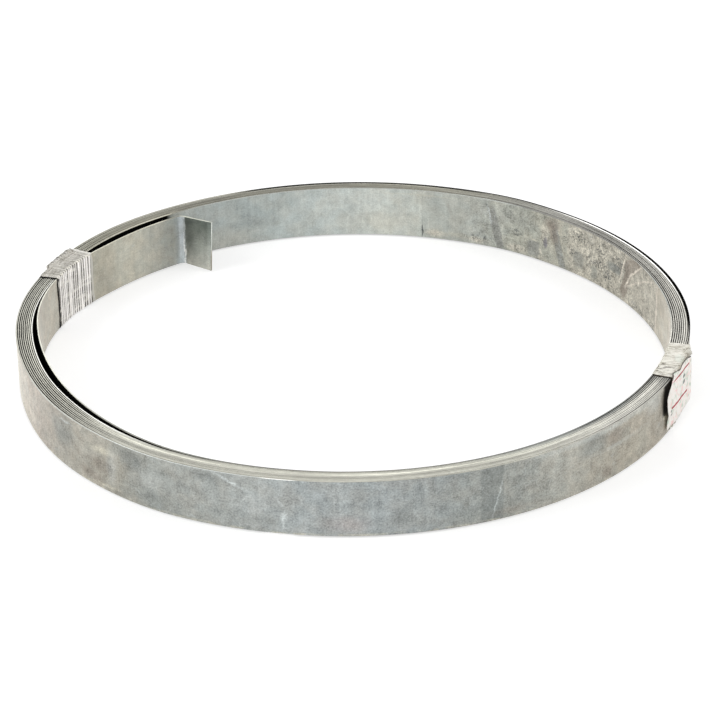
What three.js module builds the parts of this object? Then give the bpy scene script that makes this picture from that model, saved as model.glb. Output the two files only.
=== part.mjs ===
// A coil of flat galvanised steel strip, as a merchant stocks it: one long strip wound edge on edge, held by two
// ties of wound plastic film, with a paper label over one of them. Millimetres, +Z up. The coil lies flat, its
// axis on the Z axis, and Z = 0 is the floor that the ties' undersides lie on. Azimuths are in degrees,
// anticlockwise from +X as seen from above, and the strip winds outward the same way round.
import * as THREE from 'three';

// The strip, and how it is wound
const stripWidth = 30;
const stripThickness = 1;
const boreRadius = 170.5; // the first turn's inner face, where nothing draws it inward
const turnGap = 0.05; // air between one turn and the next
const innerEndAzimuth = 127.1; // where the winding starts, at the tab's bend
const outerEndAzimuth = 340; // where the outer end lies, under the second tie
const wholeTurns = 9; // the winding runs this many full turns and then on to the outer end
const stationsPerTurn = 90;

// The inner end, bent inward into a tab
const tabLength = 18.5; // the flat part beyond the bend
const tabBendRadius = 3.5; // inside the bend
const tabBendAngle = 70;
const tabBendSteps = 6;

// The free inner turn: the first tie holds it against the bundle, and it springs inward on both sides of the tie
const tailInset = 4.8; // between the tab and the tie
const tailRunOut = 5; // degrees from the bend to where it starts to come back
const bowInset = 2.9; // in the long bow beyond the tie
const bowSpan = 76; // degrees

// The outermost turn stands off the one below it, from the second tie round to the back
const springLift = 1.15;
const springRise = 7; // degrees past the outer end by which it has lifted
const springHold = 35; // degrees past the outer end where it starts to settle
const springSettle = 92; // degrees past the outer end where it lies down again

// Where hand winding leaves the coil off a true circle
const outOfRound = [
  { azimuth: 58, out: 0.9, spread: 8 },
  { azimuth: 140, out: 1.4, spread: 15 },
  { azimuth: 195, out: -1.9, spread: 17 },
  { azimuth: 238, out: 0.9, spread: 10 },
];

// The film ties, each wound many times round the bundle's section
const tieWidth = 38; // along the coil
const tieFilm = 0.6; // all its windings together
const tieCorner = 1; // radius that the film turns the strip's edges with
const firstTieAzimuth = 156.6;
const secondTieAzimuth = 340.4;
const tieSteps = 8;

// The paper label, on the second tie's outer side
const labelWidth = 50;
const labelHeight = 29;
const labelThickness = 0.4;
const labelCurl = 1.4; // how far its leading edge stands off
const labelLead = 4.5; // how far that edge reaches past the tie
const labelCurlLength = 10;
const labelSteps = 12;

const seatGap = 0.3; // clearance wherever one piece lies on another

// Worked out from the above
const pitch = stripThickness + turnGap;
const stripBase = tieFilm + seatGap;
const lastAngle = wholeTurns * 360 + THREE.MathUtils.euclideanModulo(outerEndAzimuth - innerEndAzimuth, 360);
const tieHalfAngle = THREE.MathUtils.radToDeg(tieWidth / 2 / boreRadius);

// A smooth step from 0 to 1 as x goes from low to high
const ramp = (x, low, high) => THREE.MathUtils.smoothstep(x, low, high);

function polar(radius, azimuth) {
  const angle = THREE.MathUtils.degToRad(azimuth);
  return new THREE.Vector2(radius * Math.cos(angle), radius * Math.sin(angle));
}

// How far the whole bundle lies off its circle at an azimuth
function strayAt(azimuth) {
  return outOfRound.reduce((sum, mark) => {
    const away = THREE.MathUtils.euclideanModulo(azimuth - mark.azimuth + 180, 360) - 180;
    return sum + mark.out * Math.exp(-((away / mark.spread) ** 2));
  }, 0);
}

// How far the free inner turn hangs inside the bundle, at an angle wound from the inner end
function insetAt(wound) {
  const tieAngle = firstTieAzimuth - innerEndAzimuth;
  const tail = tailInset * (1 - ramp(wound, tailRunOut, tieAngle + tieHalfAngle / 2));
  const along = (wound - tieAngle - 1.5 * tieHalfAngle) / bowSpan;
  const bow = along > 0 && along < 1 ? bowInset * Math.sin(Math.PI * along) ** 1.5 : 0;
  return tail + bow;
}

// How far the outermost turn stands off the one below, at an angle wound from the inner end
function liftAt(wound) {
  const past = wound - (lastAngle - 360);
  return springLift * ramp(past, 1, springRise) * (1 - ramp(past, springHold, springSettle));
}

// The strip's middle line at an angle wound from the inner end
function turnRadius(wound) {
  const wind = boreRadius + stripThickness / 2 + (pitch * wound) / 360;
  return wind + strayAt(innerEndAzimuth + wound) - insetAt(wound) + liftAt(wound);
}

const turnPoint = (wound) => polar(turnRadius(wound), innerEndAzimuth + wound);

// The bundle's inner and outer faces at an azimuth within half a turn of a tie
function facesAt(azimuth) {
  const fromInner = THREE.MathUtils.euclideanModulo(azimuth - innerEndAzimuth, 360);
  const outermost = boreRadius + pitch * (wholeTurns + fromInner / 360) + stripThickness + strayAt(azimuth);
  return { inner: turnRadius(fromInner) - stripThickness / 2, outer: outermost };
}

// A closed outline of even thickness along a middle line
function thicken(line, thickness) {
  const sides = [[], []];
  line.forEach((point, i) => {
    const ahead = line[Math.min(i + 1, line.length - 1)];
    const behind = line[Math.max(i - 1, 0)];
    const along = ahead.clone().sub(behind).normalize();
    const across = new THREE.Vector2(along.y, -along.x).multiplyScalar(thickness / 2);
    sides[0].push(point.clone().add(across));
    sides[1].unshift(point.clone().sub(across));
  });
  return new THREE.Shape([...sides[0], ...sides[1]]);
}

const extrude = (shape, depth, steps = 1) =>
  new THREE.ExtrudeGeometry(shape, { depth, steps, bevelEnabled: false, curveSegments: 2 });

// The tab's middle line, from its tip back to the bend's start
function tabLine() {
  const start = turnPoint(0);
  const towards = start.clone().sub(turnPoint(360 / stationsPerTurn)).normalize();
  const inward = new THREE.Vector2(towards.y, -towards.x);
  const radius = tabBendRadius + stripThickness / 2;
  const onBend = (degrees) => {
    const angle = THREE.MathUtils.degToRad(degrees);
    return start.clone().addScaledVector(towards, radius * Math.sin(angle))
      .addScaledVector(inward, radius * (1 - Math.cos(angle)));
  };
  const bend = Array.from({ length: tabBendSteps }, (_, i) => onBend((tabBendAngle * (i + 1)) / tabBendSteps));
  const heading = THREE.MathUtils.degToRad(tabBendAngle);
  const tip = bend[bend.length - 1].clone().addScaledVector(towards, tabLength * Math.cos(heading))
    .addScaledVector(inward, tabLength * Math.sin(heading));
  return [tip, ...bend.reverse()];
}

function steelStrip() {
  const stations = Math.floor((lastAngle * stationsPerTurn) / 360);
  const winding = Array.from({ length: stations + 1 }, (_, i) => turnPoint((i * 360) / stationsPerTurn));
  const shape = thicken([...tabLine(), ...winding, turnPoint(lastAngle)], stripThickness);
  return extrude(shape, stripWidth).translate(0, 0, stripBase);
}

// A rectangle with rounded corners, in (across the bundle, up), for a tie's outside and its hollow
function roundedSection(path, low, high, bottom, top, radius) {
  path.moveTo(low + radius, bottom);
  path.lineTo(high - radius, bottom);
  path.absarc(high - radius, bottom + radius, radius, -Math.PI / 2, 0);
  path.lineTo(high, top - radius);
  path.absarc(high - radius, top - radius, radius, 0, Math.PI / 2);
  path.lineTo(low + radius, top);
  path.absarc(low + radius, top - radius, radius, Math.PI / 2, Math.PI);
  path.lineTo(low, bottom + radius);
  path.absarc(low + radius, bottom + radius, radius, Math.PI, Math.PI * 1.5);
  return path;
}

// A sleeve of film round the bundle: drawn straight, then bent to follow the bundle's two faces
function filmTie(azimuth) {
  const here = facesAt(azimuth);
  const thick = here.outer - here.inner;
  const film = tieFilm + seatGap;
  const top = stripBase + stripWidth;
  const section = roundedSection(new THREE.Shape(), -film, thick + film, 0, top + film, tieCorner);
  section.holes.push(
    roundedSection(new THREE.Path(), -seatGap, thick + seatGap, tieFilm, top + seatGap, seatGap / 2),
  );
  const sleeve = extrude(section, 2 * tieHalfAngle, tieSteps);
  const corner = sleeve.getAttribute('position');
  for (let i = 0; i < corner.count; i += 1) {
    const across = corner.getX(i);
    const at = azimuth + tieHalfAngle - corner.getZ(i);
    const faces = facesAt(at);
    const radius = across < thick / 2 ? faces.inner + across : faces.outer + across - thick;
    const spot = polar(radius, at);
    corner.setXYZ(i, spot.x, spot.y, corner.getY(i));
  }
  return sleeve;
}

function paperLabel() {
  const seat = tieFilm + 2 * seatGap + labelThickness / 2;
  const first = secondTieAzimuth - tieHalfAngle;
  const line = Array.from({ length: labelSteps + 1 }, (_, i) => {
    const run = (labelWidth * i) / labelSteps;
    const azimuth = first + THREE.MathUtils.radToDeg((run - labelLead) / facesAt(first).outer);
    const curl = labelCurl * Math.max(0, 1 - run / labelCurlLength) ** 2;
    return polar(facesAt(azimuth).outer + seat + curl, azimuth);
  });
  const bottom = stripBase + (stripWidth - labelHeight) / 2;
  return extrude(thicken(line, labelThickness), labelHeight).translate(0, 0, bottom);
}

const zinc = new THREE.MeshStandardMaterial({ color: 0xa9aba6, roughness: 0.45, metalness: 0.85 });
const film = new THREE.MeshStandardMaterial({ color: 0xdfddd8, roughness: 0.35, metalness: 0 });
const paper = new THREE.MeshStandardMaterial({ color: 0xf2efeb, roughness: 0.8, metalness: 0 });

function piece(name, geometry, material) {
  const mesh = new THREE.Mesh(geometry, material);
  mesh.name = name;
  return mesh;
}

const coil = new THREE.Group();
coil.add(
  piece('steel_strip', steelStrip(), zinc),
  piece('film_tie_left', filmTie(firstTieAzimuth), film),
  piece('film_tie_right', filmTie(secondTieAzimuth), film),
  piece('paper_label', paperLabel(), paper),
);

export default coil;
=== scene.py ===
# A flat coil of galvanised steel strip, held by two ties of wound plastic film, with a paper label over one of them
import math
from functools import reduce

import bmesh
import bpy
from mathutils import Matrix, Vector, noise


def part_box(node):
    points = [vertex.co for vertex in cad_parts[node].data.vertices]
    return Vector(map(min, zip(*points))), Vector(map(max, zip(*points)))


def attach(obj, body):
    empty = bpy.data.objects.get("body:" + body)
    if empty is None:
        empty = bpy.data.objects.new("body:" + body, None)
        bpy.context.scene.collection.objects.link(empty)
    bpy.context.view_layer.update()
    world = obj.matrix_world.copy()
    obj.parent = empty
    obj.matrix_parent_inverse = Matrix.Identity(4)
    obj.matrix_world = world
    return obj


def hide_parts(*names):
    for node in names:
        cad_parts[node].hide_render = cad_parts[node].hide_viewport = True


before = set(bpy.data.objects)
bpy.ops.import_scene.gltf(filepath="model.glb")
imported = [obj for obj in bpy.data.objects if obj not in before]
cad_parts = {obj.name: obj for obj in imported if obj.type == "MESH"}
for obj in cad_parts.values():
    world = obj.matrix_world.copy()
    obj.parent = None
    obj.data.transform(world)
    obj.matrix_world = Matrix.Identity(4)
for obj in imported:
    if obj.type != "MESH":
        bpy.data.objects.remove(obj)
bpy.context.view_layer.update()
stripLow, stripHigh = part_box("steel_strip")
mm = 0.001


def smoothStep(value, low, high):
    share = min(max((value - low) / (high - low), 0), 1)
    return share * share * (3 - 2 * share)


def between(table, at):  # a smooth curve through a table's points
    low = max((step for step in range(len(table) - 1) if table[step][0] <= at), default=0)
    points = [table[min(max(low + step, 0), len(table) - 1)] for step in (-1, 0, 1, 2)]
    width = points[2][0] - points[1][0]
    share = min(max((at - points[1][0]) / width, 0), 1)
    rises = [
        (points[step + 2][1] - points[step][1]) / max(points[step + 2][0] - points[step][0], 1e-9) * width
        for step in (0, 1)
    ]
    start, end = points[1][1], points[2][1]
    return (
        start + share * rises[0] + share**2 * (3 * (end - start) - 2 * rises[0] - rises[1])
        + share**3 * (2 * (start - end) + rises[0] + rises[1])
    )


def polar(radius, azimuth, height=0.0):
    angle = math.radians(azimuth)
    return Vector((radius * math.cos(angle), radius * math.sin(angle), height))


def degreesFrom(start, azimuth):
    return (azimuth - start + 180) % 360 - 180


# How the strip is wound: as in the solid that it replaces, but for a millimetre here and there. Azimuths are in
# degrees, anticlockwise from +X.
winding = {
    "width": stripHigh.z - stripLow.z,
    "thickness": 1.0 * mm,
    "boreRadius": 170.5 * mm,  # the first turn's inner face, where nothing draws it inward
    "turnGap": 0.05 * mm,
    "innerEnd": 127.1,  # the tab's bend
    "outerEnd": 340.0,
    "wholeTurns": 9,
    "inset": (  # degrees wound, and how far (mm) the free inner turn hangs inside the bundle there
        (0, 4.35), (9, 4.6), (15, 4.4), (19, 3.75), (23, 2.5), (27, 1.2), (31, 0.3), (35, 0), (40, 0), (45, 0.25),
        (51, 0.95), (57, 1.85), (63, 2.3), (70, 2.7), (78, 3.15), (84, 3.2), (90, 2.9), (96, 2.2), (102, 1.5),
        (108, 0.95), (114, 0.45), (120, 0.1), (125, 0), (360, 0),
    ),
    # azimuth, how much looser than elsewhere the whole bundle lies, spread in degrees
    "slack": ((356.0, 0.55 * mm, 18.0),),
    "innerSlack": (  # the same, measured at the bundle's inner side while its outer side stays
        (178.0, -0.35 * mm, 15.0),
        (214.0, 0.8 * mm, 9.0),
    ),
    "innerSlackFrom": (270.0, 300.0),  # degrees wound, over which it sets in
    "spring": 0.6 * mm,  # the outermost turn stands off, from the second tie round to the back
    "springEnds": ((0.0, 33.0), (40.0, 75.0)),  # degrees past the outer end: it rises, and settles again
    "outOfRound": (  # azimuth, how far out, spread in degrees
        (58.0, 0.9 * mm, 8.0),
        (140.0, 1.4 * mm, 15.0),
        (195.0, -1.9 * mm, 17.0),
        (238.0, 0.9 * mm, 10.0),
    ),
    "firstTie": 156.6,
    "secondTie": 340.4,
    "tieWidth": 38.0 * mm,
}
pitch = winding["thickness"] + winding["turnGap"]
lastAngle = winding["wholeTurns"] * 360 + (winding["outerEnd"] - winding["innerEnd"]) % 360
tieHalfAngle = math.degrees(winding["tieWidth"] / 2 / winding["boreRadius"])


def bulging(kind, azimuth):  # how far out the bundle lies there, by one of the winding's lists
    return sum(out * math.exp(-((degreesFrom(at, azimuth) / spread) ** 2)) for at, out, spread in winding[kind])


def springAt(wound):
    past, (rise, settle) = wound - (lastAngle - 360), winding["springEnds"]
    return winding["spring"] * smoothStep(past, *rise) * (1 - smoothStep(past, *settle))


def turnRadius(wound):  # to the strip's middle line, at degrees wound from the inner end
    wind = winding["boreRadius"] + winding["thickness"] / 2 + pitch * wound / 360
    azimuth = winding["innerEnd"] + wound
    outward = min(max((wound - 360) / (lastAngle - 360), 0), 1)
    loose = bulging("slack", azimuth) * outward
    loose -= bulging("innerSlack", azimuth) * (1 - outward) * smoothStep(wound, *winding["innerSlackFrom"])
    inset = between(winding["inset"], min(wound, 360)) * mm
    return wind + bulging("outOfRound", azimuth) + loose + springAt(wound) - inset


def turnPoint(wound):
    return polar(turnRadius(wound), winding["innerEnd"] + wound)


def facesAt(azimuth):  # the radii of the bundle's inner and outer faces, near a tie
    fromInner = (azimuth - winding["innerEnd"]) % 360
    outer = winding["boreRadius"] + pitch * (winding["wholeTurns"] + fromInner / 360)
    outer += winding["thickness"] + bulging("outOfRound", azimuth) + bulging("slack", azimuth)
    return turnRadius(fromInner) - winding["thickness"] / 2, outer


def isSocket(value):
    return isinstance(value, bpy.types.NodeSocket)


def fill(node, inputs):
    for key, value in inputs.items():
        if isSocket(value):
            node.id_data.links.new(value, node.inputs[key])
        else:
            node.inputs[key].default_value = value


def addNode(kind, inputs, tree=None, **settings):  # in the tree given, or in the one that its inputs come from
    tree = tree or next(value.id_data for value in inputs.values() if isSocket(value))
    node = tree.nodes.new("ShaderNode" + kind)
    for name, value in settings.items():
        setattr(node, name, value)
    fill(node, inputs)
    return node


def calc(operation, *values):
    return addNode("Math", dict(enumerate(values)), operation=operation).outputs[0]


def times(*values):
    return reduce(lambda total, value: calc("MULTIPLY", total, value), values)


def anyOf(*masks):
    return reduce(lambda total, mask: calc("MAXIMUM", total, mask), masks)


def unlike(share):  # 1 where the share is 0
    return calc("SUBTRACT", 1.0, share)


def farFrom(value, middle):
    return calc("ABSOLUTE", calc("SUBTRACT", value, middle))


def remap(value, low, high, toLow=0.0, toHigh=1.0, kind="SMOOTHSTEP"):
    inputs = {"Value": value, "From Min": low, "From Max": high, "To Min": toLow, "To Max": toHigh}
    return addNode("MapRange", inputs, interpolation_type=kind).outputs["Result"]


def falling(value, low, high):
    return remap(value, low, high, 1, 0)


def within(value, rise, fall):  # 1 between two borders, each given by where it starts and ends
    return times(remap(value, *rise), falling(value, *fall))


def shifted(vector, scale=(1, 1, 1), location=(0, 0, 0), angle=0.0):
    inputs = {"Vector": vector, "Scale": scale, "Location": location, "Rotation": (0, 0, math.radians(angle))}
    return addNode("Mapping", inputs).outputs[0]


def grain(place, kind):
    scale, detail, rough, distortion, *placing = kind
    place = shifted(place, *placing) if placing else place
    inputs = {"Vector": place, "Scale": scale, "Detail": detail, "Roughness": rough, "Distortion": distortion}
    return addNode("TexNoise", inputs).outputs["Fac"]


def flecks(place, kind):
    border, *rest = kind
    return remap(grain(place, rest), *border)


def axisOf(vector, axis):
    return addNode("SeparateXYZ", {0: vector}).outputs[axis]


def vectorMath(operation, *values):
    return addNode("VectorMath", dict(enumerate(values)), operation=operation).outputs


def scaled(vector, amount):
    return addNode("VectorMath", {0: vector, "Scale": amount}, operation="SCALE").outputs[0]


def attribute(tree, name):
    return addNode("Attribute", {}, tree, attribute_name=name).outputs["Fac"]


def mapOf(tree, name):
    return addNode("UVMap", {}, tree, uv_map=name).outputs[0]


def objectPlace(tree):
    return addNode("TexCoord", {}, tree).outputs["Object"]


def chosen(share, first, second):
    return addNode("Mix", {0: share, 2: first, 3: second}, data_type="FLOAT").outputs[0]


def mixed(share, first, second, kind="MIX"):
    return addNode("Mix", {0: share, 6: first, 7: second}, data_type="RGBA", blend_type=kind).outputs[2]


def tinted(colour, by):
    return mixed(1.0, colour, by, "MULTIPLY")


def ramped(value, stops):
    node = addNode("ValToRGB", {"Fac": value})
    elements = node.color_ramp.elements
    while len(elements) < len(stops):
        elements.new(0.5)
    for element, (at, colour) in zip(elements, stops):
        element.position = at
        element.color = colour
    return node.outputs["Color"]


def tint(red, green, blue):  # a screen colour, 0 to 255, as the linear colour that a shader takes
    linear = [((c / 255 + 0.055) / 1.055) ** 2.4 if c > 10 else c / 255 / 12.92 for c in (red, green, blue)]
    return (*linear, 1)


def shades(*stops):
    return [(at, tint(*colour)) for at, *colour in stops]


def newMaterial(name):
    material = bpy.data.materials.new(name)
    material.use_nodes = True
    return material, material.node_tree, material.node_tree.nodes["Principled BSDF"]


def addBump(shader, height, strength, distance):
    bump = addNode("Bump", {"Height": height, "Strength": strength, "Distance": distance})
    fill(shader, {"Normal": bump.outputs[0]})


def placed(name, data):
    made = bpy.data.objects.new(name, data)
    bpy.context.scene.collection.objects.link(made)
    return made


def meshOf(name, shape, materials):
    mesh = bpy.data.meshes.new(name)
    shape.to_mesh(mesh)
    shape.free()
    for material in materials:
        mesh.materials.append(material)
    return mesh


def makePiece(name, shape, materials, slot, *nodes):
    bmesh.ops.recalc_face_normals(shape, faces=shape.faces)
    mesh = meshOf(name, shape, materials)
    mesh.polygons.foreach_set("use_smooth", [True] * len(mesh.polygons))
    piece = placed(name, mesh)
    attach(piece, "root")
    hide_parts(*nodes)


# The galvanised strip: a grid, lengthwise along the winding and crosswise round the strip's section
strip = {
    "stationsPerTurn": 180,
    "edgeRadius": 0.12 * mm,
    "edgeSteps": 3,
    "telescope": 0.1 * mm,  # how far the turns' edges stand above and below one another
    "waves": ((1.0, 0.37, 1.1), (0.6, 0.81, 0.0)),  # of that: height, how often, and where each starts
    "leastTelescope": 0.15,  # the share of it that is left at the coil's front and back
    "telescopeFrom": 40.0,  # degrees wound, over which it sets in
    "tabLength": 18.5 * mm,
    "tabBendRadius": 3.5 * mm,
    "tabBendAngle": 70.0,
    "tabTwist": 7.0,  # degrees further that the tab's lower edge is bent than its upper one
    "tabBendSteps": 12,
    "tabSteps": 6,
    "runRadius": 176.0 * mm,  # the run along the strip is the angle wound, at this radius
    "innerSide": 0.1,  # where the side that faces the bore starts in the strip's map
    "upperEdge": 0.2,
    "lowerEdge": 0.3,
    "endMap": 50.0 * mm,  # how far before the winding its two ends lie in the map
    "shutFrom": 1.5,  # degrees over which the second turn's inner face passes behind the first turn
}


def sectionRows():  # points round the section: across, up, and which side's neighbour shuts it in
    half, radius = winding["thickness"] / 2, strip["edgeRadius"]
    low, high = radius, winding["width"] - radius

    def wall(side, shares):
        return [(side * half, low + (high - low) * share, side) for share in shares]

    def corner(side, up, start):
        angles = [math.radians(start + 90 * step / strip["edgeSteps"]) for step in range(strip["edgeSteps"] + 1)]
        return [
            (side * (half - radius) + radius * math.cos(angle), up + radius * math.sin(angle), side)
            for angle in angles
        ]

    def middle(up):
        return [(0.0, up, 0)]

    return (
        wall(1, (0.1, 0.5, 0.9)) + corner(1, high, 0) + middle(winding["width"]) + corner(-1, high, 90)
        + wall(-1, (0.9, 0.5, 0.1)) + corner(-1, low, 180) + middle(0.0) + corner(1, low, 270)
    )


def onWall(row, nextRow):
    return min(abs(row[0]), abs(nextRow[0])) > winding["thickness"] / 2 - 0.001 * mm


def tabPlace(back, up, across):  # a point on the bent tab, at a distance back from where the winding starts
    start = turnPoint(0)
    towards = (start - turnPoint(360 / strip["stationsPerTurn"])).normalized()
    inward = Vector((towards.y, -towards.x, 0))
    twist = strip["tabTwist"] * (0.5 - up / winding["width"])
    radius = strip["tabBendRadius"] + winding["thickness"] / 2
    bend = math.radians(strip["tabBendAngle"] + twist)
    angle = min(back / radius, bend)
    beyond = max(back - radius * bend, 0)
    heading = towards * math.cos(angle) + inward * math.sin(angle)
    outward = towards * math.sin(angle) - inward * math.cos(angle)
    spot = start + towards * radius * math.sin(angle) + inward * radius * (1 - math.cos(angle))
    return spot + heading * beyond + outward * across


def windingPlace(wound, across):
    ahead = turnPoint(wound + 0.5) - turnPoint(wound - 0.5)
    outward = Vector((ahead.y, -ahead.x, 0)).normalized()
    return turnPoint(wound) + outward * across


def edgeLevel(wound):  # how far a turn stands above or below the others: most at the coil's left and right
    slow = sum(high * math.sin(math.radians(wound) * speed + start) for high, speed, start in strip["waves"])
    least = strip["leastTelescope"]
    slow *= least + (1 - least) * abs(math.cos(math.radians(winding["innerEnd"] + wound)))
    return strip["telescope"] * slow * smoothStep(wound, 0, strip["telescopeFrom"])


def shutIn(wound, side):  # 1 where another turn lies against that side
    if side > 0:
        return smoothStep(wound, 0, 3) * (1 - smoothStep(wound, lastAngle - 361, lastAngle - 360))
    return smoothStep(wound, 360, 360 + strip["shutFrom"]) if side < 0 else 0.0


def stripStations():  # (degrees wound, distance back along the tab) at each step along the strip
    arc = math.radians(strip["tabBendAngle"]) * (strip["tabBendRadius"] + winding["thickness"] / 2)
    flat = [strip["tabLength"] * (1 - step / strip["tabSteps"]) + arc for step in range(strip["tabSteps"])]
    bend = [arc * (1 - step / strip["tabBendSteps"]) for step in range(strip["tabBendSteps"])]
    turns = int(lastAngle * strip["stationsPerTurn"] / 360)
    wound = [step * 360 / strip["stationsPerTurn"] for step in range(turns + 1)]
    return [(0.0, back) for back in flat + bend] + [(angle, 0.0) for angle in wound + [lastAngle]]


def mapAcross(row, nextRow, at):  # where a corner of a face lies across the strip's map
    across, up, side = at
    if onWall(row, nextRow):
        return up if side > 0 else strip["innerSide"] + up
    return (strip["upperEdge"] if up > winding["width"] / 2 else strip["lowerEdge"]) + across


def buildStrip(materials):
    rows, stations = sectionRows(), stripStations()
    shape = bmesh.new()
    runMap = shape.loops.layers.uv.new("stripMap")
    shut = shape.verts.layers.float.new("shut")
    bmesh.ops.create_grid(shape, x_segments=len(stations) - 1, y_segments=len(rows), size=0.5, calc_uvs=True)
    for vertex in shape.verts:
        wound, back = stations[round((vertex.co.x + 0.5) * (len(stations) - 1))]
        across, up, side = rows[round((vertex.co.y + 0.5) * len(rows)) % len(rows)]
        vertex[shut] = shutIn(wound, side)
        spot = tabPlace(back, up, across) if back else windingPlace(wound, across)
        vertex.co = spot + Vector((0, 0, stripLow.z + up + edgeLevel(wound)))
    for face in shape.faces:
        first = min(round(corner[runMap].uv.y * len(rows)) for corner in face.loops)
        row, nextRow = rows[first], rows[(first + 1) % len(rows)]
        face.material_index = (0 if row[2] > 0 else 1) if onWall(row, nextRow) else 2
        for corner in face.loops:
            wound, back = stations[round(corner[runMap].uv.x * (len(stations) - 1))]
            at = row if round(corner[runMap].uv.y * len(rows)) == first else nextRow
            run = math.radians(wound) * strip["runRadius"] - back
            corner[runMap].uv = (run, mapAcross(row, nextRow, at))
    bmesh.ops.remove_doubles(shape, verts=shape.verts, dist=0.001 * mm)
    ends = [edge for edge in shape.edges if edge.is_boundary]
    for face in bmesh.ops.holes_fill(shape, edges=ends, sides=0)["faces"]:
        face.material_index = 2
        for corner in face.loops:
            corner[runMap].uv = (-strip["endMap"], strip["upperEdge"])
    makePiece("coiled_strip", shape, materials, "galvanised_strip", "steel_strip")


# The zinc's finish. A shade is the coating's own colour under plain light, and a ramp runs once round the coil. The
# ramps also hold painted light: they are lighter at the coil's left and right, as if lit from the sides.
zinc = {
    "outerFace": shades(
        (0.00, 172, 171, 163), (0.25, 168, 171, 170), (0.50, 232, 228, 219), (0.54, 212, 206, 196),
        (0.575, 188, 180, 171), (0.60, 180, 176, 167), (0.635, 174, 170, 160), (0.65, 162, 163, 158),
        (0.69, 170, 172, 169), (0.73, 171, 175, 175), (0.77, 164, 168, 168), (0.81, 157, 159, 155),
        (0.84, 176, 175, 168), (0.88, 176, 171, 160), (0.93, 172, 165, 153), (1.00, 172, 171, 163),
    ),
    "innerFace": shades(
        (0.00, 210, 204, 193), (0.03, 194, 188, 175), (0.06, 188, 183, 171), (0.09, 178, 174, 162),
        (0.13, 182, 180, 169), (0.156, 172, 173, 164), (0.178, 186, 187, 180), (0.21, 192, 194, 187),
        (0.235, 197, 200, 195), (0.27, 188, 193, 190), (0.30, 172, 178, 176), (0.325, 166, 171, 169),
        (0.35, 166, 170, 167), (0.365, 171, 170, 162), (0.385, 194, 191, 179), (0.41, 179, 175, 162),
        (0.50, 200, 194, 184), (0.75, 168, 170, 166), (1.00, 210, 204, 193),
    ),
    "chalk": tint(208, 214, 213),
    "fold": tint(194, 202, 206),
    "cream": tint(204, 200, 184),
    "crust": tint(211, 206, 192),
    "crustGap": tint(153, 150, 140),
    "dull": tint(128, 133, 131),
    "smooth": tint(146, 147, 142),
    "tide": tint(224, 216, 203),
    "calm": tint(188, 184, 172),
    "brown": tint(142, 133, 123),
    "pink": tint(184, 172, 168),
    "purple": tint(122, 120, 128),
    "pit": tint(82, 86, 88),
    # painted shade: black where no light reaches, between turns, behind the outermost turn and under the label's
    # edge
    "paintedShade": tint(10, 10, 9),
    "edge": tint(200, 199, 187),
    # white: the slit edges' burrs and the tab's flakes, and the painted highlights along the lips
    "burrAndGlint": tint(252, 252, 248),
}


# The coating's grains, marks and polish. A kind of grain is its scale, detail, roughness and distortion, and then
# how it is stretched, shifted and turned. A kind of fleck has a border before that: from which value to which the
# grain shows.
coating = {
    "layers": {
        "Broad": (0.045, 3, 0.5, 0.0),
        "Mottle": (0.2, 4, 0.62, 0.5),
        "Fine": (1.1, 3, 0.7, 0.0),
        "Streak": (0.5, 3, 0.6, 0.0, (1, 0.07, 1)),
    },
    "warmth": (0.09, 3, 0.55, 0.0, (1, 1, 1), (70, 30, 0)),
    "warmBorder": (0.35, 0.65),
    "waver": ((0.3, 0.7, -0.008, 0.008, "LINEAR"), 0.08, 3, 0.55, 0.0),  # of the shades, in shares of a turn
    "rubbed": ((0.42, 0.6), 0.5, 3, 0.55, 0.0, (0.25, 1, 1)),
    "thread": (0.045, 3, 0.55, 1.2, (1, 1, 1), (40, 7, 0)),
    "patchy": ((0.5, 0.62), 0.06, 2, 0.55, 0.0, (1, 1, 1), (13, 90, 0)),
    "patches": (0.15, 3, 0.55, 0.8, (1, 1, 1), (5, 60, 0)),
    "lumps": (0.62, 4, 0.7, 0.9),
    "lumpBorder": (0.6, 0.84),
    "patchLumps": 0.5,  # how much lumpier the crust is in patches
    "pits": ((0.53, 0.6), 0.8, 3, 0.6, 0.8),
    "hollows": ((0.53, 0.6), 0.42, 4, 0.7, 1.4, (1, 1, 1.5), (31, 4, 0)),
    "outerGrain": {"Broad": 0.4, "Mottle": 0.9, "Fine": 1.4, "Streak": 0.3},
    "innerGrain": {"Broad": 0.4, "Mottle": 0.6, "Fine": 0.8, "Streak": 0.3},
    "stained": ((730, 770), (900, 930)),  # the run (mm) where water has stained the inner face
    "stainedGrain": {"Mottle": 0.75, "Fine": 0.9},
    "cool": tint(252, 255, 255),
    "warm": tint(255, 254, 251),
    "frayGrain": {"Detail": 4, "Roughness": 0.65},
    "frayScale": 0.35,
    "markFray": 3.2,
    "lineFray": 2.0,
    "foot": (0.015, 0.06),  # the share of the strip's height that is rubbed pale, and how strongly
    "footRub": 0.6,
    "wispWidth": 0.012,
    "wisp": 0.25,
    "crustStains": ("smooth", "brown", "purple", "dull"),  # shades of the stains that keep the crust off
    "stainsTo": 52,  # the azimuth up to which they do
    "bare": -0.85,
    "crustShare": 0.85,
    "pitShares": (0.6, 0.3),  # where they gather, and all over the crust
    "hollowShare": 0.8,
    "shutBorder": (0.1, 0.7),
    "bump": (0.3, 0.1 * mm),
    "fineHeight": 0.4,  # of the bump: the fine grains against the mottle
    "metallic": 0.8,
    "polish": 0.2,  # how much smoother the lighter grains are
    "faceRoughness": 0.65,
    "edgeRoughness": 0.6,
}
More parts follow.
